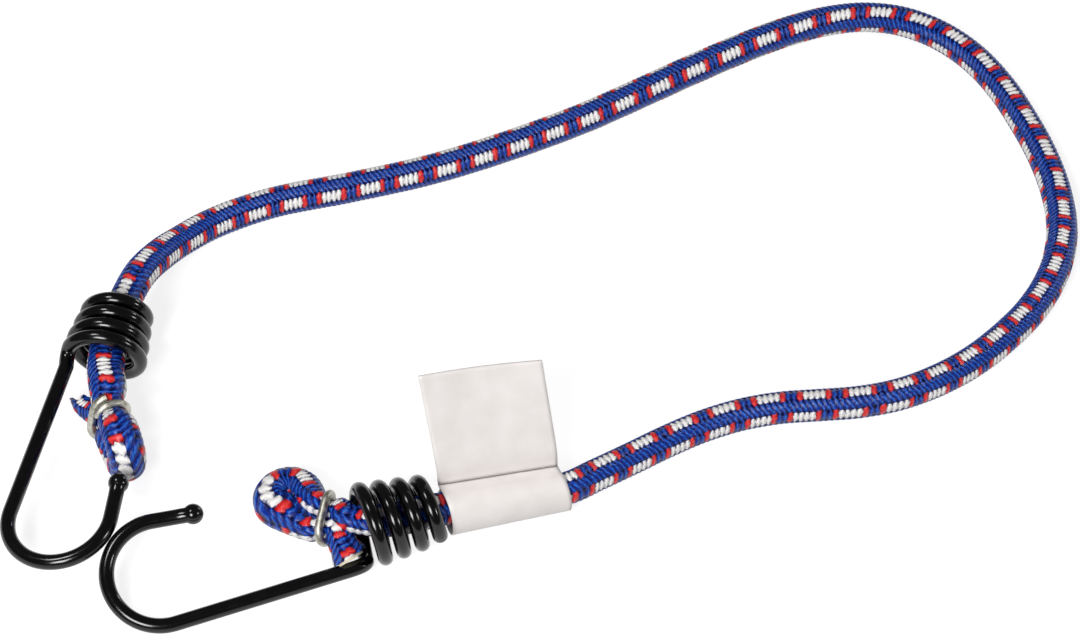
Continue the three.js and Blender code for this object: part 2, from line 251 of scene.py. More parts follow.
class BungeeColours(bpy.types.PropertyGroup):
    """Colours as sRGB hex values"""

    blue: swatch("Blue yarn", "ground yarns", "#072c90")
    # The blue groove colour is painted shade and the blue crest colour painted highlight
    blue_groove_shade: swatch("Blue groove", "grooves between the ground yarns", "#050d46")
    blue_crest_highlight: swatch("Blue crest", "crests of the ground yarns", "#2f7ade")
    red: swatch("Red yarn", "yarns beside each white group", "#cb1520")
    # The red groove colour is painted shade and the red crest colour painted highlight
    red_groove_shade: swatch("Red groove", "grooves between the red yarns", "#7c0f1c")
    red_crest_highlight: swatch("Red crest", "crests of the red yarns", "#ea4340")
    white: swatch("White yarn", "yarns in each white group", "#dcd9d6")
    # The white groove colour is painted shade and the white crest colour painted highlight
    white_groove_shade: swatch("White groove", "grooves between the white yarns", "#8285a2")
    white_crest_highlight: swatch("White crest", "crests of the white yarns", "#f8f6f4")
    rubber: swatch("Rubber", "strands of the core", "#f6ecd8")
    rubber_dark: swatch("Cut rubber", "core where it is cut", "#e6d8b8")
    vinyl: swatch("Coating", "dipped hooks", "#030304")
    vinyl_rubbed: swatch("Rubbed coating", "rubbed coating", "#08080a")
    steel: swatch("Hook steel", "bare hook wire", "#8d8c88")
    steel_dark: swatch("Hook scale", "drawing scale on the wire", "#5c5a57")
    zinc: swatch("Ring zinc", "plated crimp rings", "#d2d1c8")
    zinc_dark: swatch("Dull zinc", "dull spangle on the rings", "#a5a396")
    film: swatch("Label", "label's film", "#ece7e4")
    film_dull: swatch("Dull film", "film's mottle", "#e4dedb")
    floor: swatch("Floor", "floor", "#a8a8a8")
    backdrop: swatch("Backdrop", "floor where the camera sees it", "#ffffff")


def sizes():
    return bpy.context.scene.bungee_sizes


def colours():
    return bpy.context.scene.bungee_colours


# Nodes and colours


def linear(code):
    """An sRGB hex value as the linear colour that a socket takes."""
    channels = [int(code[i:i + 2], 16) / 255 for i in (1, 3, 5)]
    curve = [c / 12.92 if c <= 0.04045 else ((c + 0.055) / 1.055) ** 2.4 for c in channels]
    return (*curve, 1)


def add_node(tree, kind, inputs, output=0, stops=(), **settings):
    """Add one shader node with its settings and its colour stops, fill its inputs with
    values or links, and hand back one of its outputs."""
    node = tree.nodes.new(f"ShaderNode{kind}")
    for name, value in settings.items():
        setattr(node, name, value)
    for _ in stops[2:]:
        node.color_ramp.elements.new(0.5)
    for i, (place, code) in enumerate(stops):
        node.color_ramp.elements[i].color = linear(code)
        node.color_ramp.elements[i].position = place
    for key, value in inputs.items():
        if isinstance(value, bpy.types.NodeSocket):
            tree.links.new(value, node.inputs[key])
        else:
            node.inputs[key].default_value = value
    return node.outputs[output]


def new_material(name):
    """An empty material, and add_node for its tree."""
    material = bpy.data.materials.new(name)
    material.use_nodes = True
    material.node_tree.nodes.clear()
    return material, functools.partial(add_node, material.node_tree)


def finish_material(material, shader):
    """Show the shader, and hand back the finished material."""
    tree = material.node_tree
    output = tree.nodes.new("ShaderNodeOutputMaterial")
    tree.links.new(shader, output.inputs["Surface"])
    return material


# Finished objects


def finish_piece(piece, name, material, body, slot, *nodes):
    """Name a piece, give it its material and say what it rides on and stands for."""
    piece.name = name
    piece.data.name = name
    piece.data.materials.clear()
    piece.data.materials.append(material)
    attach(piece, body)
    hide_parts(*nodes)


def mesh_object(name, vertices, faces):
    """A new smooth-shaded object at the origin from vertices and faces."""
    mesh = bpy.data.meshes.new(name)
    mesh.from_pydata([tuple(v) for v in vertices], [], faces)
    mesh.polygons.foreach_set("use_smooth", [True] * len(mesh.polygons))
    mesh.update()
    piece = bpy.data.objects.new(name, mesh)
    bpy.context.scene.collection.objects.link(piece)
    return piece


def deselect_all():
    if bpy.context.object and bpy.context.object.mode != "OBJECT":
        bpy.ops.object.mode_set(mode="OBJECT")
    bpy.ops.object.select_all(action="DESELECT")


def select_only(piece):
    deselect_all()
    piece.select_set(True)
    bpy.context.view_layer.objects.active = piece


def wire_along(points, radii, thickness, roundness=3):
    """A round wire along a row of points: a path is added, laid along the points,
    given its thickness and turned into a mesh."""
    deselect_all()
    bpy.ops.curve.primitive_nurbs_path_add(location=(0, 0, 0))
    wire = bpy.context.object
    bpy.ops.object.mode_set(mode="EDIT")
    bpy.ops.curve.select_all(action="SELECT")
    bpy.ops.curve.spline_type_set(type="POLY")
    bpy.ops.object.mode_set(mode="OBJECT")
    spline = wire.data.splines[0]
    spline.points.add(len(points) - len(spline.points))
    for point, at, radius in zip(spline.points, points, radii):
        point.co = (*at, 1)
        point.radius = radius / thickness
        point.tilt = 0
    wire.data.twist_mode = "MINIMUM"
    wire.data.bevel_depth = thickness
    wire.data.bevel_resolution = roundness
    wire.data.use_fill_caps = True
    bpy.ops.object.convert(target="MESH")
    bpy.ops.object.mode_set(mode="EDIT")
    bpy.ops.mesh.select_all(action="SELECT")
    bpy.ops.mesh.remove_doubles(threshold=0.01 * MM)
    bpy.ops.mesh.normals_make_consistent(inside=False)
    bpy.ops.object.mode_set(mode="OBJECT")
    bpy.ops.object.shade_smooth_by_angle(angle=math.radians(40))
    return bpy.context.object


# The cord's route


def axes(place):
    """The way in which a place heads, and the way across it at the angle of its lie."""
    heading, tilt, lie = (math.radians(place[name]) for name in ("heading", "tilt", "lie"))
    level = np.array((-math.sin(heading), math.cos(heading), 0))
    out = np.array((
        math.cos(heading) * math.cos(tilt), math.sin(heading) * math.cos(tilt),
        math.sin(tilt),
    ))
    return out, level * math.cos(lie) + np.cross(out, level) * math.sin(lie)


def crimp_points(knot, side):
    out, across = axes(knot["crimp"])
    diameter = sizes().cord_diameter / MM
    apart = knot["crimp_share"] * diameter / 2 + STRAND_GAP / 2
    middle = np.array(knot["crimp"]["middle"])
    points = []
    for step in (-1, 0, 1):
        offset = side * (apart + knot["mouth_parts"] * max(step, 0))
        at = middle + across * offset + out * (step * CRIMP_LENGTH / 2)
        points.append((*at, knot["mouth_share" if step else "crimp_share"]))
    return points


def fold_points(knot):
    out, across = axes(knot["fold"])
    radius = knot["fold_radius"]
    middle = np.array(knot["fold"]["middle"])
    points = []
    for i in range(FOLD_STEPS + 1):
        angle = math.radians(knot["sweep"]) * (i / FOLD_STEPS - 0.5)
        at = middle + out * radius * math.cos(angle)
        at = at - across * knot["coil_side"] * radius * math.sin(angle)
        points.append((*at, knot["fold_share"]))
    return points


def knot_points(knot):
    side = knot["coil_side"]
    return crimp_points(knot, side) + fold_points(knot) + crimp_points(knot, -side)[::-1]


def route():
    """The route's points in mm on the layout, with the girth share at each."""
    start, end = np.array(LABEL_START), np.array(LABEL_END)
    label = [(*(start + (end - start) * share), 1) for share in (1, 0.5, 0)]
    return np.array(
        LEFT_TAIL + knot_points(LEFT_KNOT)[::-1] + LEFT_IN_COIL + LEFT_RISE
        + [(x, y, GROUND_HEIGHT, 1) for x, y in ON_GROUND]
        + RIGHT_RISE + label + RIGHT_IN_COIL + knot_points(RIGHT_KNOT) + RIGHT_TAIL
    )


def smooth_route(points, per_span=24):
    """Points close together on the centripetal curve through the route's points, the
    length along it at each in mm, and the girth share there."""
    first = 2 * points[0] - points[1]
    last = 2 * points[-1] - points[-2]
    all_points = np.vstack((first, points, last))
    places, shares = [], []
    weights = np.linspace(0, 1, per_span, endpoint=False)[:, None]
    for i in range(len(points) - 1):
        p0, p1, p2, p3 = all_points[i:i + 4, :3]
        pairs = ((p0, p1), (p1, p2), (p2, p3))
        d0, d1, d2 = (max(np.linalg.norm(b - a), 1e-6) ** 0.5 for a, b in pairs)
        t1 = ((p1 - p0) / d0 - (p2 - p0) / (d0 + d1) + (p2 - p1) / d1) * d1
        t2 = ((p2 - p1) / d1 - (p3 - p1) / (d1 + d2) + (p3 - p2) / d2) * d1
        places.append(
            p1 + t1 * weights + (3 * (p2 - p1) - 2 * t1 - t2) * weights ** 2
            + (2 * (p1 - p2) + t1 + t2) * weights ** 3
        )
        ease = weights[:, 0] ** 2 * (3 - 2 * weights[:, 0])
        shares.append(points[i, 3] + (points[i + 1, 3] - points[i, 3]) * ease)
    places = np.vstack((*places, points[-1:, :3]))
    shares = np.append(np.concatenate(shares), points[-1, 3])
    lengths = np.append(0, np.cumsum(np.linalg.norm(np.diff(places, axis=0), axis=1)))
    return places, lengths, shares


def to_row(places):
    """Layout millimetres as metres in the part's own frame."""
    return (np.asarray(places) - LAYOUT_ORIGIN) * MM


class CordLine:
    """The cord's centre line, with its girth and its untwisted frame at any length."""

    def __init__(self):
        places, self.lengths, self.shares = smooth_route(route())
        self.places = to_row(places)
        self.length = self.lengths[-1]
        tangents = np.gradient(self.places, self.lengths, axis=0)
        self.tangents = tangents / np.linalg.norm(tangents, axis=1)[:, None]
        middle = len(places) // 2
        self.sides = np.zeros_like(self.places)
        self.carry(range(middle, len(places)))
        self.carry(range(middle, -1, -1))

    def carry(self, order):
        """Carry the side direction along the line from the top of its middle."""
        side = np.array((0.0, 0.0, 1.0))
        for i in order:
            side = side - self.tangents[i] * side.dot(self.tangents[i])
            side = side / np.linalg.norm(side)
            self.sides[i] = side

    def at(self, lengths):
        """Places, tangents, sides and girth shares at lengths in mm."""
        def read(values):
            return np.stack(
                [np.interp(lengths, self.lengths, values[:, k]) for k in range(3)], axis=1
            )
        tangents = read(self.tangents)
        tangents /= np.linalg.norm(tangents, axis=1)[:, None]
        sides = read(self.sides)
        sides -= tangents * (sides * tangents).sum(axis=1)[:, None]
        sides /= np.linalg.norm(sides, axis=1)[:, None]
        shares = np.interp(lengths, self.lengths, self.shares)
        return read(self.places), tangents, sides, shares


# The braid


def yarn_count(lengths):
    """How many yarns lie before a length, counted from near the first white group."""
    marks = np.array(YARN_MARKS)
    return np.interp(lengths, marks[:, 0], marks[:, 1])


def crest(along):
    """How near the middle of its yarn a place is: 1 there and 0 in the groove."""
    return 1 - np.abs((along % 1) - 0.5) * 2


def braid_relief(yarns, quarters):
    """Height of the braid's surface, 0 in the grooves and 1 on the yarns' crests, where
    yarns count along the cord and quarters count round it."""
    column = np.floor(quarters + 0.5)
    off = quarters - column
    along = yarns + COLUMN_STEP * column + PICK_LEAN * off
    pick = crest(along)
    is_red = np.abs(np.abs(along % REPEAT - GROUP_MIDDLE) - RED_FROM_MIDDLE) < 0.5
    pick_share = np.abs(off) / (PICK_REACH + RED_REACH * is_red + PICK_POINT * pick)
    between = quarters % 1 - 0.5
    ground = crest(yarns + 0.5 + GROUND_LEAN * between)
    ground_share = np.abs(between) / (GROUND_REACH + GROUND_POINT * ground)
    over = pick_share < ground_share
    share = np.clip(np.where(over, pick_share, ground_share), 0, 1)
    middle = np.where(over, pick, ground)
    return np.sqrt(1 - (1 - middle) ** 2) * np.sqrt(1 - share ** ROUNDING)


def tube(line, lengths, radii, turns, sides):
    """Rings of points round the cord's line."""
    places, tangents, side, _ = line.at(lengths)
    other = np.cross(tangents, side)
    angles = turns[:, None] + 2 * math.pi * np.arange(sides)[None, :] / sides
    return (
        places[:, None, :]
        + side[:, None, :] * (radii * np.cos(angles))[:, :, None]
        + other[:, None, :] * (radii * np.sin(angles))[:, :, None]
    )


def slanted_cut(rings, lengths, line):
    """Slant the cord's right end to the plane in which it was cut."""
    near = np.clip((lengths - line.length + CUT_REACH) / CUT_REACH, 0, 1) ** END_FADE
    middles, tangents, _, _ = line.at(lengths)
    normal = np.array(CUT_NORMAL)
    out_of_plane = (rings - middles[:, None, :]) @ normal
    shift = -out_of_plane / (tangents @ normal)[:, None] * near[:, None]
    return rings + tangents[:, None, :] * shift[:, :, None]


def frayed_mouth(rings, lengths, line):
    """Open the cord's left end: its upper side is pushed back, its left lip stands out
    and its right one less."""
    near = np.clip(1 - lengths / MOUTH_REACH, 0, 1) ** END_FADE
    middles, tangents, _, _ = line.at(lengths)
    radial = rings - middles[:, None, :]
    around = radial / np.linalg.norm(radial, axis=2)[:, :, None]
    level = np.cross(tangents, np.array(MOUTH_FACES))
    level /= np.linalg.norm(level, axis=1)[:, None]
    top = np.clip(around @ np.array(MOUTH_FACES), 0, 1)
    left = np.einsum("ijk,ik->ij", around, level)
    lips = MOUTH_NOTCH * top ** NOTCH_POWER + MOUTH_DROP * np.clip(-left, 0, 1) ** 2
    spread = level[:, None, :] * (MOUTH_SPREAD * MM * left * near[:, None])[:, :, None]
    return rings + spread + tangents[:, None, :] * (lips * near[:, None] * MM)[:, :, None]


def tube_faces(rings, sides):
    """Quads between rows of rings, facing outwards, then a face over each end."""
    faces = []
    for i in range(rings - 1):
        for j in range(sides):
            k = (j + 1) % sides
            near, far = i * sides, (i + 1) * sides
            faces.append((near + j, near + k, far + k, far + j))
    faces.append(tuple(range(sides))[::-1])
    faces.append(tuple(range((rings - 1) * sides, rings * sides)))
    return faces


# Materials


def braid_material():
    """Braided polypropylene yarn, dyed in the melt and crimped: plump picks of fine
    filaments with a satin gloss and grooves where they dive under each other, with painted
    shade in the grooves and painted highlight on the crests."""
    colour = colours()
    material, add = new_material("braided_polypropylene")
    weave = add("UVMap", {}, uv_map="weave")
    yarns = add("SeparateXYZ", {0: weave})
    quarters = yarns.node.outputs[1]

    # No two yarns are drawn quite alike: each strays by a part of its width
    stray = add("CombineXYZ", {0: yarns, 1: quarters})
    stray = add("VectorMath", {0: stray, 1: (0.9, 5.0, 1.0)}, operation="MULTIPLY")
    stray = add("TexNoise", {"Vector": stray, "Scale": 1.0, "Detail": 1.0})
    stray = add("Math", {0: stray, 1: 0.5}, operation="SUBTRACT")
    yarns = add("Math", {0: stray, 1: 0.7, 2: yarns}, operation="MULTIPLY_ADD")

    # The picks of four columns lie across the cord: red, four white, red, two blue
    column = add("Math", {0: quarters}, operation="ROUND")
    off = add("Math", {0: quarters, 1: column}, operation="SUBTRACT")
    along = add("Math", {0: column, 1: COLUMN_STEP, 2: yarns}, operation="MULTIPLY_ADD")
    along = add("Math", {0: off, 1: PICK_LEAN, 2: along}, operation="MULTIPLY_ADD")
    pick = add("Math", {0: along, 1: 0.5}, operation="PINGPONG")
    in_repeat = add("Math", {0: along, 1: REPEAT}, operation="FLOORED_MODULO")
    from_middle = add("Math", {0: in_repeat, 1: GROUP_MIDDLE}, operation="SUBTRACT")
    from_middle = add("Math", {0: from_middle}, operation="ABSOLUTE")
    is_red = add("Math", {0: from_middle, 1: RED_FROM_MIDDLE, 2: 0.5}, operation="COMPARE")
    is_dyed = add("Math", {0: from_middle, 1: GROUP_MIDDLE}, operation="LESS_THAN")
    reach = add("Math", {0: pick, 1: 2 * PICK_POINT, 2: PICK_REACH},
                operation="MULTIPLY_ADD")
    reach = add("Math", {0: is_red, 1: RED_REACH, 2: reach}, operation="MULTIPLY_ADD")
    pick_share = add("Math", {0: off}, operation="ABSOLUTE")
    pick_share = add("Math", {0: pick_share, 1: reach}, operation="DIVIDE")

    # The ground yarns lie on a slant between the columns, their tips between the picks'
    between = add("Math", {0: quarters}, operation="FRACT")
    between = add("Math", {0: between, 1: 0.5}, operation="SUBTRACT")
    slant = add("Math", {0: between, 1: GROUND_LEAN, 2: yarns}, operation="MULTIPLY_ADD")
    slant = add("Math", {0: slant, 1: 0.5}, operation="ADD")
    ground = add("Math", {0: slant, 1: 0.5}, operation="PINGPONG")
    reach = add("Math", {0: ground, 1: 2 * GROUND_POINT, 2: GROUND_REACH},
                operation="MULTIPLY_ADD")
    ground_share = add("Math", {0: between}, operation="ABSOLUTE")
    ground_share = add("Math", {0: ground_share, 1: reach}, operation="DIVIDE")
    over = add("Math", {0: pick_share, 1: ground_share}, operation="LESS_THAN")
    share = add("Math", {0: pick_share, 1: ground_share}, operation="MINIMUM")
    height = add("Mix", {0: over, 2: ground, 3: pick})
    # Height falls at the picks' edges, for the bump and for the painted shade and highlight
    # below
    dip = add("Math", {0: share, 1: ROUNDING}, operation="POWER")
    height = add("Math", {0: dip, 1: -0.3, 2: height}, operation="MULTIPLY_ADD")

    # Filaments of 0.05 mm are drawn 0.2 mm apart, as fine as the picture shows
    across = add("Mix", {0: over, 2: slant, 3: along})
    across = add("Math", {0: across, 1: 6.0}, operation="MULTIPLY")
    lengthwise = add("Math", {0: quarters, 1: 7.0}, operation="MULTIPLY")
    filaments = add("CombineXYZ", {0: across, 1: lengthwise})
    filaments = add("TexNoise", {"Vector": filaments, "Scale": 1.0, "Detail": 2.0})

    # Each colour is painted darker in the grooves as shade and paler on the crests as
    # highlight, by the yarn's height and its filaments' streaks
    lit = add("Math", {0: filaments, 1: 1.0, 2: height}, operation="MULTIPLY_ADD")
    lit = add("MapRange", {0: lit, 1: 0.35, 2: 1.15})
    blue = add("ValToRGB", {0: lit}, stops=(
        (0, colour.blue_groove_shade), (0.55, colour.blue), (1, colour.blue_crest_highlight),
    ))
    red = add("ValToRGB", {0: lit}, stops=(
        (0, colour.red_groove_shade), (0.35, colour.red), (0.9, colour.red_crest_highlight),
    ))
    white = add("ValToRGB", {0: lit}, stops=(
        (0, colour.white_groove_shade), (0.3, colour.white), (0.7, colour.white_crest_highlight),
    ))
    dyed = add("Math", {0: over, 1: is_dyed}, operation="MULTIPLY")
    tint = add("Mix", {0: is_red, 6: white, 7: red}, 2, data_type="RGBA")
    tint = add("Mix", {0: dyed, 6: blue, 7: tint}, 2, data_type="RGBA")

    height = add("Math", {0: filaments, 1: 0.16, 2: height}, operation="MULTIPLY_ADD")
    bump = add("Bump", {"Strength": 0.8, "Distance": 0.4 * MM, "Height": height})
    shader = add("BsdfPrincipled", {
        "Base Color": tint, "Roughness": 0.34, "IOR": 1.49, "Specular IOR Level": 0.3,
        "Normal": bump,
    })
    return finish_material(material, shader)


def rubber_material():
    """Natural rubber strand, extruded and dusted with talc: cream and dull, mottled a
    little darker."""
    material, add = new_material("natural_rubber_strand")
    where = add("TexCoord", {}, "Object")
    dust = add("TexNoise", {"Vector": where, "Scale": 1400.0, "Detail": 3.0})
    tint = add("ValToRGB", {0: dust}, stops=(
        (0, colours().rubber_dark), (1, colours().rubber),
    ))
    bump = add("Bump", {"Strength": 0.4, "Distance": 0.05 * MM, "Height": dust})
    shader = add("BsdfPrincipled", {
        "Base Color": tint, "Roughness": 0.75, "IOR": 1.52, "Normal": bump,
    })
    return finish_material(material, shader)


def vinyl_material():
    """Dipped PVC plastisol, cured on hot wire: deep glossy black, faintly wavy where the
    plastisol drained, and a little duller where it has rubbed."""
    material, add = new_material("dipped_vinyl")
    where = add("TexCoord", {}, "Object")
    # The drained coat is wavy every 5 mm or so, and its rubbed places are 3 mm across
    waves = add("TexNoise", {"Vector": where, "Scale": 200.0, "Detail": 1.0})
    rubs = add("TexNoise", {"Vector": where, "Scale": 350.0, "Detail": 2.0})
    rough = add("MapRange", {0: rubs, 1: 0.4, 2: 0.75, 3: 0.14, 4: 0.2})
    tint = add("ValToRGB", {0: rubs}, stops=(
        (0.5, colours().vinyl), (1, colours().vinyl_rubbed),
    ))
    bump = add("Bump", {"Strength": 0.15, "Distance": 0.1 * MM, "Height": waves})
    shader = add("BsdfPrincipled", {
        "Base Color": tint, "Roughness": rough, "IOR": 1.53, "Specular IOR Level": 0.4,
        "Normal": bump,
    })
    return finish_material(material, shader)


def wire_material(name, dark, bright, roughness, grain_scale):
    """Bare wire with the drawing marks or the spangle of its finish at one scale."""
    material, add = new_material(name)
    where = add("TexCoord", {}, "Object")
    grain = add("TexNoise", {"Vector": where, "Scale": grain_scale, "Detail": 4.0})
    rough = add("MapRange", {
        0: grain, 1: 0.3, 2: 0.7, 3: roughness - 0.06, 4: roughness + 0.14,
    })
    tint = add("ValToRGB", {0: grain}, stops=((0.35, dark), (0.65, bright)))
    bump = add("Bump", {"Strength": 0.4, "Distance": 0.06 * MM, "Height": grain})
    shader = add("BsdfPrincipled", {
        "Base Color": tint, "Metallic": 1.0, "Roughness": rough, "Normal": bump,
    })
    return finish_material(material, shader)


def film_material():
    """Self-laminated polypropylene film: white and smooth with a soft gloss, faintly
    mottled and rippled where its two leaves are stuck together."""
    material, add = new_material("laminated_film")
    where = add("TexCoord", {}, "Object")
    mottle = add("TexNoise", {"Vector": where, "Scale": 160.0, "Detail": 3.0})
    ripple = add("TexNoise", {"Vector": where, "Scale": 60.0, "Detail": 1.0})
    tint = add("ValToRGB", {0: mottle}, stops=(
        (0.3, colours().film_dull), (0.7, colours().film),
    ))
    rough = add("MapRange", {0: mottle, 1: 0.3, 2: 0.7, 3: 0.28, 4: 0.42})
    bump = add("Bump", {"Strength": 0.25, "Distance": 0.1 * MM, "Height": mottle})
    bump = add("Bump", {
        "Strength": 0.5, "Distance": 0.8 * MM, "Height": ripple, "Normal": bump,
    })
    shader = add("BsdfPrincipled", {
        "Base Color": tint, "Roughness": rough, "IOR": 1.49, "Normal": bump,
    })
    return finish_material(material, shader)


def floor_material():
    """Matt white board under soft light: seen straight on it is white, and the object's
    shadow stays on it."""
    material, add = new_material("matt_board")
    path = add("LightPath", {}, "Is Camera Ray")
    seen = add("Math", {0: path, 1: path.node.outputs["Is Glossy Ray"]},
               operation="MAXIMUM")
    seen = add("Math", {0: seen, 1: path.node.outputs["Is Transmission Ray"]},
               operation="MAXIMUM")
    # Fine grain of the board's paper, a millimetre across
    where = add("TexCoord", {}, "Object")
    paper = add("TexNoise", {"Vector": where, "Scale": 1000.0, "Detail": 2.0})
    bump = add("Bump", {"Strength": 0.1, "Distance": 0.05 * MM, "Height": paper})
    diffuse = add("BsdfDiffuse", {0: linear(colours().floor), "Normal": bump})
    glow = add("Math", {0: seen, 1: FLOOR_GLOW}, operation="MULTIPLY")
    glow = add("Emission", {0: linear(colours().backdrop), 1: glow})
    shader = add("AddShader", {0: diffuse, 1: glow})
    return finish_material(material, shader)


# Operators, one for each piece or group of like pieces


class BUNGEE_OT_camera(bpy.types.Operator):
    """Add the camera at the photograph's angle"""

    bl_idname = "bungee.camera"
    bl_label = "Camera"

    def execute(self, context):
        deselect_all()
        bpy.ops.object.camera_add(
            location=CAMERA_AT, rotation=(math.radians(CAMERA_RISE), 0, 0),
        )
        camera = context.object
        camera.data.sensor_width = FILM_WIDTH
        camera.data.lens = FILM_WIDTH * PHOTO_FOCAL / PHOTO_WIDTH
        camera.data.clip_start = 0.01
        context.scene.camera = camera
        return {"FINISHED"}


# The sheath's mesh: places at which the line is read, how far inside its outside it is
# lined as a share of its wall, and how many yarns' width the ends are turned in
LINE_READINGS = 8001
LINING_SHARE = 0.9
TURNED_YARNS = 4


class BUNGEE_OT_braid(bpy.types.Operator):
    """Make the cord's woven sheath along its route"""

    bl_idname = "bungee.braid"
    bl_label = "Woven sheath"

    rings_per_yarn: bpy.props.IntProperty(
        name="Rings", description="Rings of faces along each yarn's width", default=4,
    )
    sides: bpy.props.IntProperty(
        name="Sides", description="Faces round the sheath", default=40,
    )

    def execute(self, context):
        size = sizes()
        line = CordLine()
        dense = np.linspace(0, line.length, LINE_READINGS)
        counts = yarn_count(dense)
        first = math.ceil(counts[0] * self.rings_per_yarn)
        last = math.floor(counts[-1] * self.rings_per_yarn)
        yarns = np.arange(first, last + 1) / self.rings_per_yarn
        lengths = np.interp(yarns, counts, dense)
        marks = np.array(COLUMN_ANGLES, dtype=float)
        turns = np.radians(np.interp(lengths, marks[:, 0], marks[:, 1]))
        quarters = np.arange(self.sides) * QUARTERS / self.sides
        relief = braid_relief(yarns[:, None], quarters[None, :])
        _, _, _, shares = line.at(lengths)
        girth = size.cord_diameter / 2 * shares
        radii = girth[:, None] - size.yarn_relief * (1 - relief)

        # The outside, then both ends turned in over the cut and back along the inside
        inner = girth[:, None] * np.ones((1, self.sides)) - size.sheath_wall * LINING_SHARE
        turned = self.rings_per_yarn * TURNED_YARNS
        every = np.arange(len(yarns))
        order = np.concatenate((every[:turned][::-1], every, every[-turned:][::-1]))
        lined = np.vstack((inner[:turned][::-1], radii, inner[-turned:][::-1]))
        rings = tube(line, lengths[order], lined, turns[order], self.sides)
        rings = slanted_cut(rings, lengths[order], line)
        rings = frayed_mouth(rings, lengths[order], line)
        faces = tube_faces(len(rings), self.sides)
        cord = mesh_object("cord_braid", rings.reshape(-1, 3), faces)

        # The weave map: yarns along the cord in U, quarter turns round it in V
        weave = cord.data.uv_layers.new(name="weave")
        corners = np.empty((len(cord.data.loops), 2))
        index = np.empty(len(cord.data.loops), dtype=int)
        cord.data.loops.foreach_get("vertex_index", index)
        corners[:, 0] = yarns[order][index // self.sides]
        corners[:, 1] = (index % self.sides) * QUARTERS / self.sides
        seam = (len(rings) - 1) * self.sides * 4
        quads = corners[:seam].reshape(-1, 4, 2)
        wraps = (quads[:, :, 1].max(axis=1) - quads[:, :, 1].min(axis=1)) > QUARTERS / 2
        quads[:, :, 1][wraps] += np.where(quads[:, :, 1][wraps] < QUARTERS / 2, QUARTERS, 0)
        weave.data.foreach_set("uv", corners.ravel())

        finish_piece(cord, "cord_braid", braid_material(), "cord", "woven_sheath",
                     "cord_sheath")
        return {"FINISHED"}


# The core's mesh: faces round it, rings along it, the grooves between its strands and how
# far it shows at the cut end, in mm
CORE_SIDES = 16
CORE_RINGS = 500
CORE_GROOVE = 0.12
CORE_SHOWS = 0.5


class BUNGEE_OT_core(bpy.types.Operator):
    """Make the bundle of rubber strands inside the sheath"""

    bl_idname = "bungee.core"
    bl_label = "Rubber core"

    def execute(self, context):
        size = sizes()
        line = CordLine()
        sides = CORE_SIDES
        lengths = np.linspace(MOUTH_REACH, line.length, CORE_RINGS)
        _, _, _, shares = line.at(lengths)
        radii = size.cord_diameter / 2 * shares[:, None] - size.sheath_wall
        grooves = CORE_GROOVE * MM * (np.arange(sides) % 2)
        radii = radii * np.ones((1, sides)) - grooves[None, :]
        rings = tube(line, lengths, radii, np.zeros(len(lengths)), sides)
        rings = slanted_cut(rings, lengths, line)
        shown = np.clip(lengths - line.length + 1, 0, 1)[:, None] * line.tangents[-1]
        rings = rings + shown[:, None, :] * CORE_SHOWS * MM
        core = mesh_object(
            "rubber_strands", rings.reshape(-1, 3), tube_faces(len(rings), sides),
        )
        finish_piece(core, "rubber_strands", rubber_material(), "cord", "rubber_core",
                     "rubber_core")
        return {"FINISHED"}


# The hook's shape, in mm, turns and degrees, with how many points each part of its line
# takes; the ball's are spread over these angles from its tip
COIL_LARGE_RADIUS = 9
COIL_SMALL_RADIUS = 6.8
COIL_TURNS = 3.93
COIL_START_ANGLE = 161
CORNER_REACH = 3
ELBOW_REACH = 4.5
SHANK_LENGTH = 46.8
SHANK_SPLAY = 3
BEND_RADIUS = 12.6
BEND_OVERTURN = 7
TIP_LENGTH = 9.9
TIP_SHARES = (0.55, 0.35, 0.15)
BALL_ANGLES = (0.12, 2.3)
BALL_POINTS = 14
BALL_END = 0.1
BEND_POINTS = 49
SHANK_POINTS = 12
CORNER_POINTS = 9
COIL_POINTS = 176


def coil_point(turn, pitch):
    radius = COIL_LARGE_RADIUS + (COIL_SMALL_RADIUS - COIL_LARGE_RADIUS) * turn / COIL_TURNS
    angle = math.radians(COIL_START_ANGLE) - 2 * math.pi * turn
    return np.array((-pitch * turn, radius * math.cos(angle), radius * math.sin(angle)))


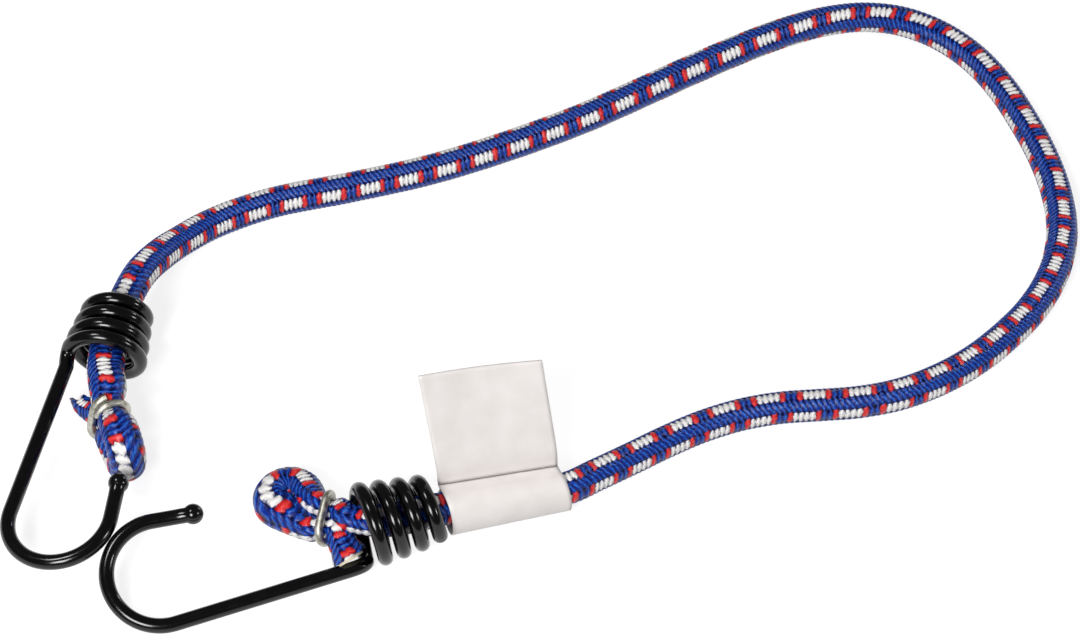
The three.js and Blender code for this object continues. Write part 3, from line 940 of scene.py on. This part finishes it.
def hook_line(hook, ball_radius, wire_radius):
    """The middle of the hook's wire from its tip to the coil's cut end, in the hook's
    own axes in mm, and the wire's radius at each point."""
    pitch = hook["pitch"]
    corner = coil_point(0, pitch)
    splay = math.radians(SHANK_SPLAY)
    along = np.array((math.cos(splay), -math.sin(splay), 0))
    inward = np.array((math.sin(splay), math.cos(splay), 0))

    def shank(x, y):
        return corner + along * x + inward * (y + hook["inset"])

    sweep = math.pi + math.radians(BEND_OVERTURN)
    to_tip = along * math.cos(sweep) + inward * math.sin(sweep)
    bend_end = shank(
        SHANK_LENGTH + BEND_RADIUS * math.sin(sweep), BEND_RADIUS * (1 - math.cos(sweep)),
    )
    points, radii = [], []
    for share in np.cos(np.linspace(*BALL_ANGLES, BALL_POINTS)):
        points.append(bend_end + to_tip * (TIP_LENGTH + share * ball_radius))
        least = BALL_END if share > 0 else wire_radius
        radii.append(max(ball_radius * math.sqrt(1 - share ** 2), least))
    for share in TIP_SHARES:
        points.append(bend_end + to_tip * TIP_LENGTH * share)
    for angle in np.linspace(sweep, 0, BEND_POINTS):
        reach = SHANK_LENGTH + BEND_RADIUS * math.sin(angle)
        points.append(shank(reach, BEND_RADIUS * (1 - math.cos(angle))))
    for reach in np.linspace(SHANK_LENGTH, ELBOW_REACH, SHANK_POINTS)[1:-1]:
        points.append(shank(reach, 0))
    corner_turn = CORNER_REACH / (2 * math.pi * COIL_LARGE_RADIUS)
    start, end = shank(ELBOW_REACH, 0), coil_point(corner_turn, pitch)
    for t in np.linspace(0, 1, CORNER_POINTS):
        points.append(start * (1 - t) ** 2 + corner * 2 * t * (1 - t) + end * t ** 2)
    for turn in np.linspace(corner_turn, COIL_TURNS, COIL_POINTS)[1:]:
        points.append(coil_point(turn, pitch))
    radii += [wire_radius] * (len(points) - len(radii))
    return np.array(points), np.array(radii)


def placed_hook_line(hook, ball_radius, wire_radius):
    points, radii = hook_line(hook, ball_radius, wire_radius)
    axis, to_tip = axes(hook)
    turned = points @ np.stack((axis, to_tip, np.cross(axis, to_tip)))
    return to_row(turned + np.array(hook["at"])), radii * MM


class BUNGEE_OT_hooks(bpy.types.Operator):
    """Make the two wire hooks and the vinyl that they are dipped in"""

    bl_idname = "bungee.hooks"
    bl_label = "Hooks"

    def execute(self, context):
        size = sizes()
        colour = colours()
        vinyl = vinyl_material()
        # Hard drawn spring steel wire, cut by a shear at the coil's end: grey and bright
        steel = wire_material(
            "drawn_steel_wire", colour.steel_dark, colour.steel, 0.3, 2500.0,
        )
        coat = size.hook_wire / 2 / MM
        for side, hook in (("left", LEFT_HOOK), ("right", RIGHT_HOOK)):
            body = f"{side}_hook"
            points, radii = placed_hook_line(hook, size.ball / 2 / MM, coat)
            skin = wire_along(points, radii, coat * MM, roundness=6)
            finish_piece(skin, f"{side}_hook_vinyl", vinyl, body, "hook_coating",
                         f"{side}_hook_coating")
            inner = coat - size.hook_coat / MM
            bare = points[BALL_POINTS:]
            wire = wire_along(bare, np.full(len(bare), inner * MM), inner * MM)
            finish_piece(wire, f"{side}_hook_steel", steel, body, "hook_wire",
                         f"{side}_hook_wire")
        return {"FINISHED"}


# The ring's room round the strands in mm, its overlap in degrees, how far it steps aside
# over its length in mm, how flat its long sides are, and the points along it
RING_CLEARANCE = 0.4
RING_OVERLAP = 55
RING_SIDE_STEP = 2.8
RING_FLATNESS = 4
RING_POINTS = 90


class BUNGEE_OT_rings(bpy.types.Operator):
    """Make the wire rings that crimp the folded ends"""

    bl_idname = "bungee.rings"
    bl_label = "Crimp rings"

    def execute(self, context):
        size = sizes()
        # Galvanised wire closed by a press: dull silver with brighter rubbed places
        zinc = wire_material(
            "galvanised_wire", colours().zinc_dark, colours().zinc, 0.42, 700.0,
        )
        wire = size.ring_wire / 2 / MM
        for side, knot in (("left", LEFT_KNOT), ("right", RIGHT_KNOT)):
            strand = knot["crimp_share"] * size.cord_diameter / 2 / MM
            around = strand + RING_CLEARANCE + wire
            half_apart = strand + STRAND_GAP / 2
            out, across = axes(knot["crimp"])
            third = np.cross(out, across)
            points = []
            for share in np.linspace(0, 1, RING_POINTS):
                angle = math.radians(knot["ring_start"] + (360 + RING_OVERLAP) * share)
                straight = half_apart * math.tanh(RING_FLATNESS * math.cos(angle))
                points.append(
                    np.array(knot["crimp"]["middle"])
                    + across * (straight + around * math.cos(angle))
                    + third * around * math.sin(angle)
                    + out * RING_SIDE_STEP * (share - 0.5)
                )
            ring = wire_along(
                to_row(points), np.full(len(points), wire * MM), wire * MM, roundness=5,
            )
            finish_piece(ring, f"{side}_ring", zinc, "cord", "crimp_ring",
                         f"{side}_crimp_ring")
        return {"FINISHED"}


# The label's shape in mm and degrees, the leaves' place as a share of the film's
# thickness, and how many points each part of its section takes and columns it has
LABEL_CLEARANCE = 0.3
LABEL_LEAF_SHARE = 0.55
LABEL_JOIN_REACH = 0.8
LABEL_FLAG_LENGTH = 29.9
LABEL_FLAG_LEAN = 25
LABEL_FLAG_TWIST = 3
LABEL_FLAG_SAG = 1.2
LABEL_FLAG_BOW = 1
LABEL_SKEW = 0.17
LABEL_SLACK_FAR = 1
LABEL_SLACK_NEAR = 2.5
LABEL_CREASE_ANGLE = 4
LABEL_CREASE_RISE = 1
LABEL_CREASE_DEPTH = 3.7
LABEL_CREASE_REACH = 3.2
FLAG_POINTS = 27
CREASE_POINTS = 11
WRAP_POINTS = 44
JOIN_POINTS = 6
LABEL_COLUMNS = 31


def label_profile(radius, join_at, leaf):
    """The film's cross-section, from the front leaf's edge down the flag and round the
    cord to the back leaf's: along the flag, out of it, and the share of the flag."""
    profile = [
        (join_at + share * LABEL_FLAG_LENGTH, leaf, share)
        for share in np.linspace(1, 0, FLAG_POINTS)
    ]

    # The front leaf hugs the cord over its top and turns up in a crease
    start = math.radians(LABEL_CREASE_ANGLE)
    foot = np.array((radius * math.cos(start), radius * math.sin(start)))
    crease = np.array((foot[0] + (foot[1] - leaf) * math.tan(start), leaf))
    top = np.array((crease[0] + LABEL_CREASE_RISE, leaf))
    for t in np.linspace(0, 1, CREASE_POINTS)[1:-1]:
        x, y = top * (1 - t) ** 2 + crease * 2 * t * (1 - t) + foot * t ** 2
        profile.append((x, y, 0))

    # The back leaf leaves the cord at a tangent
    opening = math.acos(radius / join_at)
    for angle in np.linspace(start, 2 * math.pi - opening, WRAP_POINTS):
        profile.append((radius * math.cos(angle), radius * math.sin(angle), 0))
    x, y, _ = profile[-1]
    for t in np.linspace(0, 1, JOIN_POINTS)[1:-1]:
        profile.append((x + (join_at - x) * t, y + (-leaf - y) * t, 0))
    profile += [(x, -y, share) for x, y, share in profile[:FLAG_POINTS][::-1]]
    return np.array(profile)


class BUNGEE_OT_label(bpy.types.Operator):
    """Make the film label wrapped round the cord"""

    bl_idname = "bungee.label"
    bl_label = "Label"

    def execute(self, context):
        size = sizes()
        film = size.label_film / MM
        radius = size.cord_diameter / 2 / MM + LABEL_CLEARANCE + film / 2
        join_at = radius + LABEL_JOIN_REACH
        width = size.label_width / MM
        profile = label_profile(radius, join_at, film * LABEL_LEAF_SHARE)
        x, y, share = (row[:, None] for row in profile.T)
        columns = np.linspace(0, width, LABEL_COLUMNS)[None, :]

        # The wrap hangs slack at its near end, and the flag leans back there, is bowed and
        # sits back over the crease
        far = columns / width
        slack = LABEL_SLACK_NEAR + (LABEL_SLACK_FAR - LABEL_SLACK_NEAR) * far
        lean = np.tan(np.radians(LABEL_FLAG_TWIST) * (1 - far))
        lean = lean + LABEL_FLAG_BOW / LABEL_FLAG_LENGTH * np.sin(np.pi * far)
        y = y + LABEL_FLAG_SAG * share ** 2 - lean * np.maximum(x - join_at, 0)
        above = np.clip(x - radius, 0, None)
        fade = np.exp(-above / LABEL_CREASE_REACH)
        y = y - LABEL_CREASE_DEPTH * np.clip(above, 0, 1) * fade
        x = x + slack / radius * np.minimum(x, 0)

        start, end = np.array(LABEL_START), np.array(LABEL_END)
        along = (end - start) / np.linalg.norm(end - start)
        back = np.array((-along[1], along[0], 0)) / math.hypot(along[0], along[1])
        up = np.cross(along, back)
        angle = math.radians(LABEL_FLAG_LEAN)
        flag = up * math.cos(angle) + back * math.sin(angle)
        third = np.cross(along, flag)
        corner = (start + end) / 2 - along * width / 2
        flag = flag - along * LABEL_SKEW
        vertices = (
            corner + flag * x[:, :, None] + third * y[:, :, None]
            + along * columns[:, :, None]
        )
        rows, count = vertices.shape[:2]
        faces = [
            (i * count + j, i * count + j + 1, (i + 1) * count + j + 1, (i + 1) * count + j)
            for i in range(rows - 1) for j in range(count - 1)
        ]
        label = mesh_object("label_wrap", to_row(vertices.reshape(-1, 3)), faces)
        select_only(label)
        solid = label.modifiers.new("film", "SOLIDIFY")
        solid.thickness = size.label_film
        solid.offset = 0
        bpy.ops.object.modifier_apply(modifier="film")
        finish_piece(label, "label_wrap", film_material(), "cord", "label_film",
                     "wrap_label")
        return {"FINISHED"}


class BUNGEE_OT_stage(bpy.types.Operator):
    """Add the pale floor and the soft studio light"""

    bl_idname = "bungee.stage"
    bl_label = "Stage"

    def execute(self, context):
        scene = context.scene
        deselect_all()
        bpy.ops.mesh.primitive_plane_add(size=FLOOR_SIDE, location=(0, 0, 0))
        floor = context.object
        floor.name = "floor"
        floor.data.materials.append(floor_material())
        for name, way, side, power in LAMPS:
            way = Vector(way).normalized()
            bpy.ops.object.light_add(
                type="AREA", location=Vector(CORD_MIDDLE) + way * LAMP_DISTANCE,
                rotation=way.to_track_quat("Z", "Y").to_euler(),
            )
            lamp = context.object
            lamp.name = name
            lamp.data.size = side
            lamp.data.energy = power
        world = bpy.data.worlds.new("studio")
        scene.world = world
        world.use_nodes = True
        sky = world.node_tree.nodes["Background"]
        sky.inputs[0].default_value = (1, 1, 1, 1)
        sky.inputs[1].default_value = SKY_STRENGTH
        scene.view_settings.view_transform = "Standard"
        return {"FINISHED"}


class BUNGEE_PT_pieces(bpy.types.Panel):
    """Lists the pieces of the bungee cord and their sizes and colours"""

    bl_idname = "BUNGEE_PT_pieces"
    bl_label = "Bungee Cord"
    bl_space_type = "VIEW_3D"
    bl_region_type = "UI"
    bl_category = "Bungee"

    def draw(self, context):
        column = self.layout.column(align=True)
        for operator in OPERATORS:
            column.operator(operator.bl_idname)
        for group in (sizes(), colours()):
            column.separator()
            for name in group.bl_rna.properties.keys():
                if name not in {"rna_type", "name"}:
                    column.prop(group, name)


OPERATORS = (
    BUNGEE_OT_camera,
    BUNGEE_OT_braid,
    BUNGEE_OT_core,
    BUNGEE_OT_hooks,
    BUNGEE_OT_rings,
    BUNGEE_OT_label,
    BUNGEE_OT_stage,
)
CLASSES = (BungeeSizes, BungeeColours, *OPERATORS, BUNGEE_PT_pieces)


def register():
    for cls in CLASSES:
        bpy.utils.register_class(cls)
    bpy.types.Scene.bungee_sizes = bpy.props.PointerProperty(type=BungeeSizes)
    bpy.types.Scene.bungee_colours = bpy.props.PointerProperty(type=BungeeColours)


def unregister():
    del bpy.types.Scene.bungee_colours
    del bpy.types.Scene.bungee_sizes
    for cls in reversed(CLASSES):
        bpy.utils.unregister_class(cls)


def main():
    register()
    bpy.ops.bungee.camera()
    bpy.ops.bungee.braid()
    bpy.ops.bungee.core()
    bpy.ops.bungee.hooks()
    bpy.ops.bungee.rings()
    bpy.ops.bungee.label()
    bpy.ops.bungee.stage()


if __name__ == "__main__":
    main()
